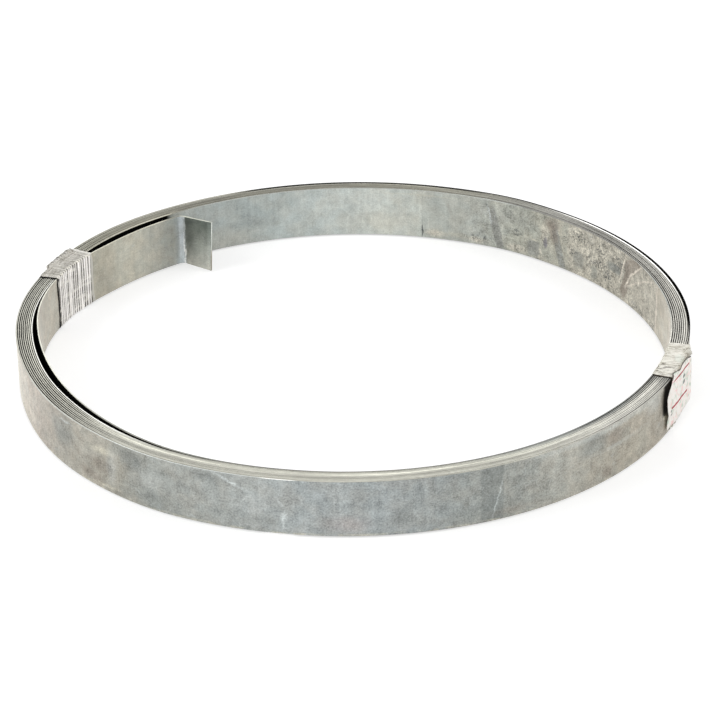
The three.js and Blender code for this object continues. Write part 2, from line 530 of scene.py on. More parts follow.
tab = {
    "face": shades((0.0, 196, 195, 185), (0.35, 166, 170, 163), (1.0, 110, 118, 112)),
    "start": (-5.5, -4.2),  # the run (mm) where its shades end
    "shade": (-17.0, -6.0, 1.08, 0.76),  # painted shade: darker from its tip toward the fold
    "faceWaver": 12,
    "shadeWaver": 300,
    "flakes": (0.7, 3, 0.6, 0.0, (1, 0.3, 1)),
    "crease": ((-5.6, -4.6), (-3.8, 4.5)),
    "creaseFlakes": (0.42, 0.6, 0.6, 0.9),
    "burrAndGlint": ((-5.8, -5.2), (-4.2, -3.2)),
    "burrLevel": (0.4, 0.65, 1.0, 0.25),  # it is fainter above this share of the strip's height
    "burrFlakes": (0.44, 0.54),
}


# Marks on the face that looks outward: azimuth, height, half its length, half its width (mm), the way it runs in
# degrees, how square it is (2 is an oval), how soft its border is, shade, strength
outerMarks = (
    (215.6, 18.5, 10.0, 9.0, 0, 2, 0.8, "dull", 0.5),
    (217.0, 26.0, 6.0, 0.6, 4, 2, 0.6, "chalk", 0.5),
    (226.3, 21.6, 7.0, 1.9, 6, 2, 0.7, "cream", 0.7),
    (226.0, 13.5, 8.0, 4.5, 0, 2, 0.6, "brown", 0.4),
    (223.5, 5.4, 7.5, 2.6, -8, 2, 0.8, "brown", 0.6),
    (227.2, 2.6, 9.0, 0.8, 3, 2, 0.8, "cream", 0.6),
    (228.7, 14.0, 10.0, 3.0, 90, 2, 0.7, "chalk", 0.3),
    (233.0, 23.5, 5.5, 5.5, 0, 2, 0.6, "dull", 0.55),
    (236.6, 16.0, 9.0, 6.0, 0, 2, 0.8, "chalk", 0.2),
    (238.0, 6.0, 9.0, 4.5, 0, 2, 0.8, "dull", 0.35),
    (247.0, 26.3, 8.0, 3.2, -5, 2, 0.7, "dull", 0.5),
    (250.9, 25.2, 8.4, 0.7, -25, 2, 0.8, "chalk", 0.65),
    (254.0, 15.0, 8.0, 5.5, 0, 2, 0.9, "chalk", 0.3),
    (256.0, 7.0, 8.0, 2.2, 0, 2, 0.8, "dull", 0.3),
    (258.7, 17.0, 4.0, 0.6, -52, 2, 0.8, "chalk", 0.4),
    (259.2, 9.2, 2.6, 1.8, 90, 2, 0.7, "chalk", 0.65),
    (259.1, 6.3, 2.6, 0.6, 90, 2, 0.7, "chalk", 0.7),
    (268.0, 20.0, 9.0, 5.0, 90, 2, 0.9, "chalk", 0.25),
    (269.0, 6.5, 9.0, 4.0, 0, 2, 0.8, "pink", 0.4),
    (277.3, 9.5, 5.0, 4.5, 0, 2, 0.7, "dull", 0.45),
    (279.6, 10.0, 4.0, 0.5, -58, 2, 0.7, "chalk", 0.3),
    (281.0, 24.0, 5.0, 0.9, 90, 2, 0.9, "chalk", 0.3),
    (291.7, 15.0, 17.0, 5.8, 90, 8, 0.12, "dull", 0.55),
    (292.6, 11.6, 9.9, 0.4, 75, 2, 0.7, "chalk", 0.5),
    (295.5, 4.0, 12.0, 1.8, 0, 2, 0.8, "brown", 0.3),
    (297.0, 18.0, 9.0, 9.0, 0, 2, 0.8, "dull", 0.25),
    (311.0, 24.0, 9.4, 4.8, 0, 4, 0.45, "dull", 0.5),
    (316.0, 23.0, 6.2, 4.4, 0, 3, 0.5, "brown", 0.5),
    (317.0, 17.6, 20.0, 0.9, 0, 2, 0.9, "chalk", 0.2),
    (314.3, 4.7, 4.0, 2.6, 0, 2, 0.6, "brown", 0.5),
    (322.0, 10.0, 10.0, 6.0, 20, 2, 0.8, "cream", 0.25),
    (314.0, 29.2, 40.0, 1.8, 0, 4, 0.6, "chalk", 0.3),
    (327.5, 25.5, 8.0, 5.0, 0, 2, 0.7, "chalk", 0.3),
    # painted shadow: the steel dark under the label's lifted leading edge
    (332.6, 22.6, 5.6, 11.2, 0, 6, 0.28, "paintedShade", 0.96),
    (332.0, 10.4, 3.2, 1.0, -24, 3, 0.3, "cream", 0.95),
)
innerMarks = (
    (146.5, 8.0, 9.0, 6.5, 20, 2, 0.9, "brown", 0.28),
    (139.0, 22.0, 7.0, 5.0, 0, 2, 0.9, "cream", 0.2),
    (110.0, 12.5, 13.0, 2.2, 3, 2, 0.8, "dull", 0.35),
    (115.0, 4.5, 16.0, 6.0, 0, 2, 0.9, "calm", 0.45),
    (84.0, 8.0, 9.0, 8.0, 0, 2, 0.9, "cream", 0.25),
    (75.4, 15.0, 13.0, 0.3, 90, 8, 0.5, "dull", 0.25),
    (75.4, 4.2, 3.6, 0.5, 90, 2, 0.4, "pit", 0.9),
    (72.6, 21.0, 3.6, 6.0, 0, 2, 0.9, "dull", 0.35),
    (69.8, 20.0, 6.0, 1.1, 68, 2, 0.8, "brown", 0.3),
    (67.0, 3.8, 15.0, 1.3, 0, 3, 0.6, "cream", 0.45),
    (68.0, 15.0, 22.6, 16.0, 0, 8, 0.06, "dull", 0.2),
    (59.9, 12.0, 13.5, 2.7, 74, 6, 0.2, "smooth", 0.9),
    (61.4, 21.0, 6.0, 0.6, 76, 3, 0.5, "chalk", 0.5),
    (55.5, 23.5, 13.0, 7.0, 0, 3, 0.6, "smooth", 0.35),
    (51.2, 6.2, 5.2, 4.4, 90, 5, 0.25, "smooth", 0.85),
    (48.3, 12.3, 3.4, 1.7, 90, 2, 0.4, "purple", 0.8),
    (45.0, 12.0, 13.5, 2.6, 73, 6, 0.2, "smooth", 0.85),
    (46.6, 20.5, 7.5, 3.2, 70, 3, 0.4, "brown", 0.6),
    (46.8, 26.0, 6.5, 4.0, 0, 3, 0.5, "brown", 0.4),
    (39.6, 9.5, 4.6, 5.6, 0, 3, 0.4, "smooth", 0.7),
    (36.2, 12.8, 6.6, 0.8, -8, 3, 0.5, "pit", 0.55),
    (35.0, 6.5, 3.0, 5.0, 0, 3, 0.4, "dull", 0.55),
    (28.9, 16.5, 7.4, 3.0, 0, 3, 0.4, "dull", 0.75),
    (22.4, 25.0, 10.4, 4.4, -22, 4, 0.15, "brown", 0.9),
    (24.7, 12.6, 10.8, 3.6, 113, 5, 0.15, "brown", 0.9),
    (7.0, 23.0, 9.0, 6.0, 0, 2, 0.9, "brown", 0.28),
    (3.0, 18.0, 10.0, 5.0, -30, 2, 0.9, "cream", 0.3),
)
innerLines = (  # the same, but over the crust
    (17.0, 15.0, 19.0, 12.0, 0, 3, 0.3, "calm", 0.5),
    (51.0, 11.6, 1.9, 0.5, 0, 2, 0.6, "cream", 0.7),
    (26.0, 20.4, 8.9, 0.6, 108, 4, 0.4, "tide", 0.8),
    (21.2, 23.7, 8.3, 0.65, 142, 4, 0.4, "tide", 0.85),
    (24.1, 14.3, 5.2, 0.65, 124, 4, 0.4, "tide", 0.8),
    (10.7, 15.5, 13.0, 1.1, 91, 4, 0.6, "tide", 0.95),
    (22.5, 14.1, 7.2, 0.6, 148, 4, 0.5, "tide", 0.6),
    (18.3, 21.1, 7.9, 0.6, 153, 4, 0.5, "tide", 0.6),
    (14.4, 26.3, 5.0, 0.6, 159, 4, 0.5, "tide", 0.6),
    (76.0, 27.2, 22.0, 0.5, 0, 2, 0.8, "cream", 0.3),
)
crusts = (  # on the face that looks into the bore: azimuth, height, half length, half width, the way it runs
    (26.7, 15.0, 48.8, 17.0, 0, 8, 0.04),
    (55.0, 3.0, 7.0, 2.6, 0, 2, 0.4),
    (50.0, 4.0, 2.2, 4.5, 0, 3, 0.4),
    (48.4, 17.5, 3.2, 5.0, 0, 3, 0.5),
    (73.0, 3.4, 5.0, 2.0, 0, 2, 0.8),
    (64.0, 2.6, 4.0, 1.6, 0, 2, 0.8),
)
pitted = (  # the same, where dark specks gather
    (55.4, 13.2, 4.6, 2.2, 0, 2, 0.5),
    (62.5, 4.0, 4.0, 1.6, 0, 2, 0.6),
    (34.0, 13.5, 9.0, 2.6, 0, 2, 0.5),
    (31.0, 8.5, 4.0, 4.0, 0, 2, 0.6),
    (27.6, 20.5, 7.0, 4.6, 0, 2, 0.5),
    (43.2, 20.5, 2.4, 3.4, 0, 2, 0.6),
    (41.0, 13.0, 2.6, 2.4, 0, 2, 0.6),
    (39.5, 24.0, 6.0, 2.6, 0, 2, 0.9),
    (33.5, 22.0, 5.0, 3.0, 0, 2, 0.9),
    (20.0, 3.0, 6.0, 2.4, 0, 2, 0.5),
    (12.4, 2.4, 4.4, 1.8, 0, 2, 0.5),
    (64.0, 4.4, 9.0, 1.6, 0, 2, 0.9),
)


def newGroup(name, inputs, outputs):
    group = bpy.data.node_groups.new(name, "ShaderNodeTree")
    for label, kind in inputs.items():
        group.interface.new_socket(label, in_out="INPUT", socket_type="NodeSocket" + kind)
    for label in outputs:
        group.interface.new_socket(label, in_out="OUTPUT", socket_type="NodeSocketFloat")
    return group, group.nodes.new("NodeGroupInput").outputs, group.nodes.new("NodeGroupOutput")


def placeGroup(group, inputs):
    return addNode("Group", inputs, node_tree=group).outputs


def makeMarkGroup():  # 1 inside an oval or a box of any size and turn, 0 outside
    inputs = {
        "Place": "Vector", "Centre": "Vector", "Size": "Vector", "Turned": "Float", "Square": "Float",
        "Softness": "Float",
    }
    group, given, result = newGroup("mark", inputs, ("Mask",))
    away = vectorMath("SUBTRACT", given["Place"], given["Centre"])[0]
    back = times(given["Turned"], -1.0)
    along = addNode("VectorRotate", {"Vector": away, "Angle": back}, rotation_type="Z_AXIS").outputs[0]
    size = vectorMath("ABSOLUTE", vectorMath("DIVIDE", along, given["Size"])[0])[0]
    powers = [calc("POWER", axisOf(size, axis), given["Square"]) for axis in "XY"]
    reach = calc("POWER", calc("ADD", *powers), calc("DIVIDE", 1.0, given["Square"]))
    low = calc("SUBTRACT", 1.0, given["Softness"])
    high = calc("ADD", 1.0, given["Softness"])
    fill(result, {"Mask": falling(reach, low, high)})
    return group


def makeGrainGroup():  # the coating's own unevenness, from a place in millimetres
    inputs = {"Place": "Vector", "Broad": "Float", "Mottle": "Float", "Fine": "Float", "Streak": "Float"}
    group, given, result = newGroup("coatingGrain", inputs, ("Light", "Height", "Warmth"))
    layers = {name: grain(given["Place"], kind) for name, kind in coating["layers"].items()}
    light = 1.0
    for name, value in layers.items():
        light = calc("MULTIPLY_ADD", calc("SUBTRACT", value, 0.5), given[name], light)
    height = calc("MULTIPLY_ADD", layers["Fine"], coating["fineHeight"], layers["Mottle"])
    fill(result, {"Light": light, "Height": height, "Warmth": grain(given["Place"], coating["warmth"])})
    return group


print("Stage: finishes")
markGroup = makeMarkGroup()
grainGroup = makeGrainGroup()


def azimuthShare(tree, waver=0.0):  # 0 to 1 round the coil
    place = objectPlace(tree)
    turn = calc("DIVIDE", calc("ARCTAN2", axisOf(place, "Y"), axisOf(place, "X")), math.tau)
    return calc("FRACT", calc("ADD", calc("ADD", turn, waver), 1.0))


def aroundCoil(tree):  # millimetres out from the axis, and round the coil
    flat = vectorMath("MULTIPLY", objectPlace(tree), (1000, 1000, 0))[0]
    run = times(azimuthShare(tree), math.tau * strip["runRadius"] / mm)
    return addNode("CombineXYZ", {"X": vectorMath("LENGTH", flat)["Value"], "Y": run}).outputs[0]


def stripMap(tree):  # the place on the strip's map in millimetres, and how far along the strip it is
    place = shifted(mapOf(tree, "stripMap"), (1000, 1000, 0))
    return place, axisOf(place, "X")


def stripPlace(azimuth, height, outward):  # a place on one of the visible faces, in the map's millimetres
    wound = (azimuth - winding["innerEnd"]) % 360
    if outward:
        turns = winding["wholeTurns"]
        wound += 360 * (turns if wound + 360 * turns <= lastAngle else turns - 1)
    side = 0 if outward else strip["innerSide"]
    return math.radians(wound) * strip["runRadius"] / mm, side / mm + height


def oval(place, centre, size, turned, square, softness):
    return placeGroup(markGroup, {
        "Place": place, "Centre": (*centre, 0), "Size": (*size, 1), "Turned": math.radians(turned),
        "Square": square, "Softness": softness,
    })["Mask"]


def markMask(place, mark, outward):
    azimuth, height, length, width, *kind = mark[:7]
    return oval(place, stripPlace(azimuth, height, outward), (length, width), *kind)


def ragged(place, scale, amount):  # the place with its outlines frayed
    fray = addNode("TexNoise", {"Vector": place, "Scale": scale, **coating["frayGrain"]})
    away = vectorMath("SUBTRACT", fray.outputs["Color"], (0.5, 0.5, 0.5))[0]
    return vectorMath("ADD", place, vectorMath("MULTIPLY", away, (amount, amount, 0))[0])[0]


def addMarks(colour, place, marks, outward):
    for mark in marks:
        shade, strength = mark[7:]
        share = times(markMask(place, mark, outward), strength)
        colour = mixed(share, colour, zinc[shade])
    return colour


def finishMetal(shader, colour, light, paintedShade, dull, roughness):  # metallic, but not where painted shade lies
    fill(shader, {
        "Base Color": mixed(paintedShade, colour, zinc["paintedShade"]),
        "Roughness": calc("MULTIPLY_ADD", light, -coating["polish"], roughness),
        "Metallic": times(unlike(dull), coating["metallic"]),
        "Specular IOR Level": 0.0,
    })


def addCrust(colour, place, frayed):  # a chalky crust, broken by smooth stains and dark pits
    def anyMark(marks):
        return anyOf(*(markMask(frayed, mark, False) for mark in marks))

    stains = [mark for mark in innerMarks if mark[7] in coating["crustStains"] and mark[0] < coating["stainsTo"]]
    crusty = times(anyMark(crusts), calc("MULTIPLY_ADD", anyMark(stains), coating["bare"], 1.0))
    patches, lumps = (grain(place, coating[name]) for name in ("patches", "lumps"))
    lumps = calc("MULTIPLY_ADD", patches, coating["patchLumps"], lumps)
    crust = mixed(remap(lumps, *coating["lumpBorder"]), zinc["crustGap"], zinc["crust"])
    colour = mixed(times(crusty, coating["crustShare"]), colour, crust)
    near, (gathered, scattered) = anyMark(pitted), coating["pitShares"]
    pits = calc("MULTIPLY_ADD", near, gathered, times(crusty, scattered))
    colour = mixed(times(flecks(place, coating["pits"]), pits), colour, zinc["pit"])
    hollows = times(flecks(place, coating["hollows"]), near, coating["hollowShare"])
    return mixed(hollows, colour, zinc["pit"])


def addTab(colour, place, run, waver):
    level = calc("SUBTRACT", axisOf(place, "Y"), strip["innerSide"] / mm)
    level = calc("DIVIDE", level, winding["width"] / mm)
    face = ramped(calc("MULTIPLY_ADD", waver, tab["faceWaver"], level), tab["face"])
    # painted shade: the tab darkens toward its fold, where the tail hides it from the light
    shade = remap(calc("MULTIPLY_ADD", waver, tab["shadeWaver"], run), *tab["shade"])
    face = scaled(face, shade)
    colour = mixed(falling(run, *tab["start"]), colour, face)
    flakes = grain(place, tab["flakes"])
    # the bend: pale flaked zinc with a painted highlight along it
    crease = times(within(run, *tab["crease"]), remap(flakes, *tab["creaseFlakes"]))
    colour = mixed(crease, colour, zinc["fold"])
    burrAndGlint = times(within(run, *tab["burrAndGlint"]), remap(level, *tab["burrLevel"]), remap(flakes, *tab["burrFlakes"]))
    return mixed(burrAndGlint, colour, zinc["burrAndGlint"])


def buildZincFace(outward):
    material, tree, shader = newMaterial("galvanisedOutward" if outward else "galvanisedInward")
    place, run = stripMap(tree)
    frayed = ragged(place, coating["frayScale"], coating["markFray"])
    strengths = {"Place": place, **coating["outerGrain" if outward else "innerGrain"]}
    if not outward:  # calmer, but where water has stained it
        stained = within(run, *coating["stained"])
        for name, more in coating["stainedGrain"].items():
            strengths[name] = calc("MULTIPLY_ADD", stained, more, strengths[name])
    grains = placeGroup(grainGroup, strengths)
    waver = flecks(place, coating["waver"])
    colour = ramped(azimuthShare(tree, waver), zinc["outerFace" if outward else "innerFace"])
    warm = remap(grains["Warmth"], *coating["warmBorder"])
    colour = tinted(colour, mixed(warm, coating["cool"], coating["warm"]))
    colour = addMarks(colour, frayed, outerMarks if outward else innerMarks, outward)
    if outward:
        level = calc("DIVIDE", axisOf(place, "Y"), winding["width"] / mm)
        rubbed = flecks(place, coating["rubbed"])
        foot = times(falling(level, *coating["foot"]), rubbed, coating["footRub"])
        colour = mixed(foot, colour, zinc["cream"])
    else:
        colour = addCrust(colour, place, frayed)
        lineFray = ragged(place, coating["frayScale"], coating["lineFray"])
        colour = addMarks(colour, lineFray, innerLines, outward)
        colour = addTab(colour, place, run, waver)
    colour = scaled(colour, grains["Light"])
    patchy = flecks(place, coating["patchy"])
    wisp = falling(farFrom(grain(place, coating["thread"]), 0.5), 0.0, coating["wispWidth"])
    colour = mixed(times(wisp, patchy, coating["wisp"]), colour, zinc["chalk"])
    paintedShade = remap(attribute(tree, "shut"), *coating["shutBorder"])  # painted shade where another turn lies against it
    finishMetal(shader, colour, grains["Light"], paintedShade, paintedShade, coating["faceRoughness"])
    addBump(shader, grains["Height"], *coating["bump"])
    return material


rims = {  # the slit edges' lightness, painted light and shade: round the coil, then across the bundle from the bore outward
    "round": (
        (0.00, 0.92), (0.06, 0.72), (0.10, 0.46), (0.15, 0.30), (0.18, 0.29), (0.22, 0.27), (0.25, 0.25),
        (0.29, 0.22), (0.33, 0.205), (0.36, 0.25), (0.385, 0.37), (0.41, 0.62), (0.44, 0.70), (0.47, 0.90),
        (0.55, 0.98), (0.62, 0.93), (0.68, 0.91), (0.75, 0.96), (0.80, 1.02), (0.83, 0.97), (0.86, 0.98),
        (0.925, 1.02), (0.95, 0.97), (1.00, 0.90),
    ),
    "front": (
        (0.0, 0.36), (0.08, 0.40), (0.18, 0.56), (0.26, 0.76), (0.33, 0.98), (0.39, 0.84), (0.50, 0.57),
        (0.62, 0.48), (0.72, 0.53), (0.82, 0.66), (0.92, 0.64), (1.0, 0.54),
    ),
    "right": ((0.0, 0.72), (0.3, 0.86), (0.7, 1.0), (1.0, 1.0)),
    "left": ((0.0, 0.95), (0.35, 0.93), (0.6, 0.8), (1.0, 0.68)),
    "besideTie": (
        (0.0, 0.5), (0.16, 0.52), (0.26, 0.68), (0.36, 0.9), (0.55, 1.0), (0.65, 0.97), (0.74, 0.76), (0.9, 0.7),
        (1.0, 0.62),
    ),
    "frontEnds": ((0.58, 0.65), (0.85, 0.92)),  # shares of a turn
    "frontShift": (0.78, 0.87, 0.0, 0.11),  # over the first two the front's tones move outward, by the last
    "nearTie": (0.85, 0.88),  # from here on to the second tie the inner turns' grooves keep their painted shade
    "shadedGrooveTurns": (0.14, 0.32),  # shares of the way from the bore outward
    "tieUnshadedGrooves": (0.2, 0.4, 0.0, 0.6),
    "tieAt": 0.945,
    "tieShade": (0.914, 0.932, 0.0, 0.6),
    "rightUnshadedGrooves": 0.5,
    "backUnshadedGrooves": (0.11, 0.18),  # how far from a quarter turn, either way
    "tints": (  # the share of a turn that it lies round, how it fades away from there, and the tint
        (0.3, (0.08, 0.16, 1, 0), tint(255, 252, 240)),
        (0.5, (0.32, 0.39, 0, 1), (1.01, 1.0, 1.04, 1)),
    ),
    "grain": {"Broad": 1.1, "Mottle": 0.6, "Fine": 0.5, "Streak": 0.0},
    # how strongly the painted glint lines glow
    "glint": 0.3,
    "shutBorder": (0.36, 0.82),
    "stretch": (0.35, 1, 0),  # of its grain
    "tabFrom": (-3.0, -1.0),
    "tab": (0.66, 0.7, 0.74, 1),  # the tab's upper edge
    "endTop": tint(222, 225, 219),  # the tab's cut end, from top to foot
    "endFoot": tint(176, 170, 152),
    "endBorder": (0.3, 0.55),  # shares of the way up
    "lips": {  # how far out from the strip's middle line (mm) each starts, and from what share to what
        "outer": (0.15, 0.3, 0, 1),
        "inner": (-0.3, -0.15, 1, 0),
        "outerHalf": (-0.15, 0.05, 0, 1),
        "innerHalf": (-0.05, 0.15, 1, 0),
    },
    "turns": (  # which turns, counted from the bore and from the outside
        (("first", "second", "inward"), "LESS_THAN", 0, 1),
        (("last", "next", "third"), "GREATER_THAN", 1, -1),
    ),
}
# Most of these lines are painted light and shade: bright ones are painted highlights on lips that face the light,
# dark ones painted shade on lips that face away and in the gap behind the outermost turn.
rimLines = (  # along a lip of the bundle: where each fades in and out round the coil, lip, turn, shade, strength
    ((0.54, 0.58, 0.70, 0.74), "outer", "last", "chalk", 0.8),
    ((0.708, 0.713, 0.722, 0.727), "outer", "last", "burrAndGlint", 1.0),
    ((0.12, 0.18, 0.295, 0.312), "both", "last", "paintedShade", 0.7),
    ((0.05, 0.09, 0.295, 0.312), "outer", "next", "paintedShade", 0.9),
    ((0.17, 0.19, 0.295, 0.312), "both", "next", "paintedShade", 0.8),
    ((0.13, 0.17, 0.33, 0.36), "outer", "first", "chalk", 0.5),
    ((0.44, 0.47, 0.62, 0.66), "both", "second", "burrAndGlint", 0.5),
    ((0.30, 0.318, 0.41, 0.43), "both", "last", "edge", 0.29),
    ((0.30, 0.318, 0.41, 0.43), "both", "next", "edge", 0.26),
    ((0.19, 0.21, 0.41, 0.43), "both", "third", "edge", 0.22),
    ((0.345, 0.36, 0.43, 0.44), "both", "inward", "cream", 0.2),
    ((0.92, 0.94, 2.0, 3.0), "outerHalf", "last", "paintedShade", 1.0),
    ((0.97, 0.99, 2.0, 3.0), "both", "last", "paintedShade", 1.0),
    ((-2.0, -1.0, 0.15, 0.26), "both", "last", "paintedShade", 1.0),
    ((0.0, 0.05, 0.1, 0.145), "both", "next", "burrAndGlint", 1.0),
    ((0.985, 0.995, 2.0, 3.0), "both", "first", "dull", 0.4),
    ((-2.0, -1.0, 0.035, 0.055), "both", "first", "dull", 0.55),
    ((0.65, 0.68, 0.72, 0.78), "innerHalf", "first", "paintedShade", 0.5),
    ((0.355, 0.365, 0.43, 0.44), "both", "first", "cream", 0.5),
    ((0.345, 0.36, 0.43, 0.44), "outerHalf", "second", "cream", 0.95),
    ((0.55, 0.62, 0.88, 0.93), "inner", "first", "dull", 0.8),
    ((0.13, 0.17, 0.33, 0.36), "inner", "first", "chalk", 0.5),
    ((0.74, 0.82, 0.925, 0.93), "innerHalf", "first", "paintedShade", 0.6),
    ((0.82, 0.88, 0.925, 0.93), "inner", "second", "paintedShade", 0.6),
    ((0.905, 0.915, 0.925, 0.93), "inner", "last", "paintedShade", 0.4),
    ((0.78, 0.86, 0.89, 0.92), "both", "first", "dull", 0.45),
    ((0.78, 0.86, 0.89, 0.92), "both", "second", "dull", 0.5),
    ((0.78, 0.86, 0.89, 0.92), "both", "inward", "dull", 0.4),
)


def addRimLines(colour, turn, outward, across):  # also gives where painted shade lies, and where the edge has a painted glint
    fromMiddle = calc("SUBTRACT", across, strip["upperEdge"] / mm)
    lips = {name: remap(fromMiddle, *border) for name, border in rims["lips"].items()}
    lips["both"] = 1.0
    turns = {}
    for names, operation, start, way in rims["turns"]:
        before = 0.0
        for count, name in enumerate(names, 1):
            reached = calc(operation, outward, start + way * count * 360 / lastAngle)
            turns[name] = calc("SUBTRACT", reached, before)
            before = reached
    found = {}
    for band, lip, which, shade, strength in rimLines:
        mask = times(within(turn, band[:2], band[2:]), lips[lip], turns[which], strength)
        colour = mixed(mask, colour, zinc[shade])
        found.setdefault(shade, []).append(mask)
    return colour, anyOf(*found["paintedShade"]), anyOf(*found["burrAndGlint"])


def buildSlitEdge():
    material, tree, shader = newMaterial("slitEdge")
    place, run = stripMap(tree)
    turn = azimuthShare(tree)
    outward = calc("DIVIDE", run, math.radians(lastAngle) * strip["runRadius"] / mm)
    front = within(turn, *rims["frontEnds"])
    rightSide = calc("GREATER_THAN", farFrom(turn, 0.5), 0.25)
    beforeTie = calc("LESS_THAN", turn, rims["tieAt"])
    nearTie = remap(turn, *rims["nearTie"])
    besideTie = times(nearTie, beforeTie)

    def tone(at, name):
        return ramped(at, [(stop, (level, level, level, 1)) for stop, level in rims[name]])

    # Painted light and shade: how light the edges are round the coil and across the bundle
    moved = calc("SUBTRACT", outward, remap(turn, *rims["frontShift"]))
    light = mixed(rightSide, tone(outward, "left"), tone(outward, "right"))
    light = mixed(front, light, tone(moved, "front"))
    light = mixed(besideTie, light, tone(outward, "besideTie"))
    light = tinted(tone(turn, "round"), light)
    light = mixed(falling(run, *rims["tabFrom"]), light, rims["tab"])
    grains = placeGroup(grainGroup, {"Place": shifted(place, rims["stretch"]), **rims["grain"]})
    colour = scaled(tinted(light, zinc["edge"]), grains["Light"])
    for middle, border, by in rims["tints"]:
        share = remap(farFrom(turn, middle), *border)
        colour = mixed(share, colour, tinted(colour, by))
    # The painted shade in the grooves between turns: kept where shadedGrooves, left out where pressed
    shadedGrooves = times(nearTie, falling(outward, *rims["shadedGrooveTurns"]))
    pressed = anyOf(
        times(front, unlike(shadedGrooves)),
        times(rightSide, outward, rims["rightUnshadedGrooves"]),
        times(besideTie, remap(outward, *rims["tieUnshadedGrooves"])),
        falling(farFrom(turn, 0.25), *rims["backUnshadedGrooves"]),
    )
    # painted shadow on the rims beside the second tie
    shaded = times(remap(turn, *rims["tieShade"]), beforeTie)
    colour = mixed(shaded, colour, zinc["paintedShade"])
    colour, paintedShadeLines, glint = addRimLines(colour, turn, outward, axisOf(place, "Y"))
    cut = calc("LESS_THAN", run, -0.8 * strip["endMap"] / mm)
    height = calc("DIVIDE", axisOf(objectPlace(tree), "Z"), winding["width"])
    end = mixed(falling(height, *rims["endBorder"]), rims["endTop"], rims["endFoot"])
    colour = mixed(cut, colour, end)
    # painted shade in the grooves between turns
    groove = times(remap(attribute(tree, "shut"), *rims["shutBorder"]), unlike(pressed))
    dull = anyOf(paintedShadeLines, groove)
    finishMetal(shader, colour, grains["Light"], groove, dull, coating["edgeRoughness"])
    # painted glint: the highlight lines along the lips glow
    fill(shader, {"Emission Color": scaled(colour, glint), "Emission Strength": rims["glint"]})
    return material


# The two ties: plastic film wound round the bundle's section, gathered into ribs over a thin sleeve of itself
tie = {
    "pitch": 2.3 * mm,
    "ribWidth": 1.35 * mm,
    "ribHeight": 0.5 * mm,
    "hem": 2.0 * mm,  # the bare sleeve at each end
    "sleeveGap": 0.12 * mm,
    "sleeveRuck": 0.12 * mm,
    "cornerRadius": 0.5 * mm,
    "wallSteps": 9,
    "topSteps": 5,
    "cornerSteps": 5,
    "ribSides": 8,
    "sleeveSteps": 60,
    "crossings": 3.4,  # turns of a second layer that runs back over the first
    "crossGap": 0.35 * mm,
    "crown": 0.8,
    "bulgeFrom": (0.7, 0.9),  # shares of the way across and up the section
    "pressed": 0.35,  # how much of a rib's height is left on the upper side
    "tip": 0.05,  # how wide a rib is at its two ends
    "ribThin": (0.85, 0.8, 3.1),  # a middle value, how far it strays, and how fast
    "ribTall": (0.8, 0.6, 4.3),
    "sway": (0.0, 1.0, 1.7),
    "flutter": (0.0, 0.6, 6.3),
    "fray": (0.0, 1.0, 9.0),
    "fineFray": (0.0, 0.5, 23.0),
    "ruck": (1.0, 1.0, 20.0),
    "left": {
        "centre": winding["firstTie"], "seed": 3, "wander": 0.4 * mm, "ragged": 1.1 * mm,
        # azimuth, half its width and its border in degrees, how far the film stands off the outer upper corner
        "bulges": ((154.9, 3.8, 0.35, 1.35 * mm),),
    },
    "right": {
        "centre": winding["secondTie"], "seed": 8, "wander": 0.85 * mm, "ragged": 1.3 * mm,
        "bulges": ((344.0, 0.0, 0.4, 2.2 * mm), (345.4, 0.5, 2.0, 0.5 * mm)),
    },
}


def aroundSection():  # points round the bundle's section: shares across and up it, and the way out
    stops = []
    corners = ((0, 1, 180), (1, 1, 90), (1, 0, 0), (0, 0, 270))  # inner top, outer top, outer bottom, inner bottom
    for at, (across, up, start) in enumerate(corners):
        for step in range(tie["cornerSteps"]):
            angle = math.radians(start - 90 * step / (tie["cornerSteps"] - 1))
            stops.append((across, up, math.cos(angle), math.sin(angle)))
        nextAcross, nextUp, nextStart = corners[(at + 1) % 4]
        steps = tie["topSteps"] if at % 2 == 0 else tie["wallSteps"]
        angle = math.radians(nextStart)
        for step in range(1, steps):
            share = step / steps
            stops.append((
                across + (nextAcross - across) * share, up + (nextUp - up) * share,
                math.cos(angle), math.sin(angle),
            ))
    return stops


def bulgeAt(one, azimuth, stop):
    onCorner = math.prod(smoothStep(share, start, 1) for share, start in zip(stop, tie["bulgeFrom"]))
    return onCorner * sum(
        out * (1 - smoothStep(abs(degreesFrom(at, azimuth)), half, half + border))
        for at, half, border, out in one["bulges"]
    )


def tiePlace(one, azimuth, stop, away):  # the point at a distance out from the bundle's section
    across, up, outX, outZ = stop
    inner, outer = facesAt(azimuth)
    radius = tie["cornerRadius"]
    away += bulgeAt(one, azimuth, stop)
    inset = radius * (1 - abs(outX)) if across in (0, 1) else 0
    level = radius * (1 - abs(outZ)) if up in (0, 1) else 0
    fromAxis = inner + (outer - inner) * across + (inset if across == 0 else -inset if across == 1 else 0)
    height = stripLow.z + winding["width"] * up + (level if up == 0 else -level if up == 1 else 0)
    return polar(fromAxis + outX * away, azimuth, height + outZ * away)


def wander(seed, along, kind):
    middle, stray, speed = tie[kind]
    return middle + stray * noise.noise(Vector((along * speed, seed * 7.3, 0.5)))


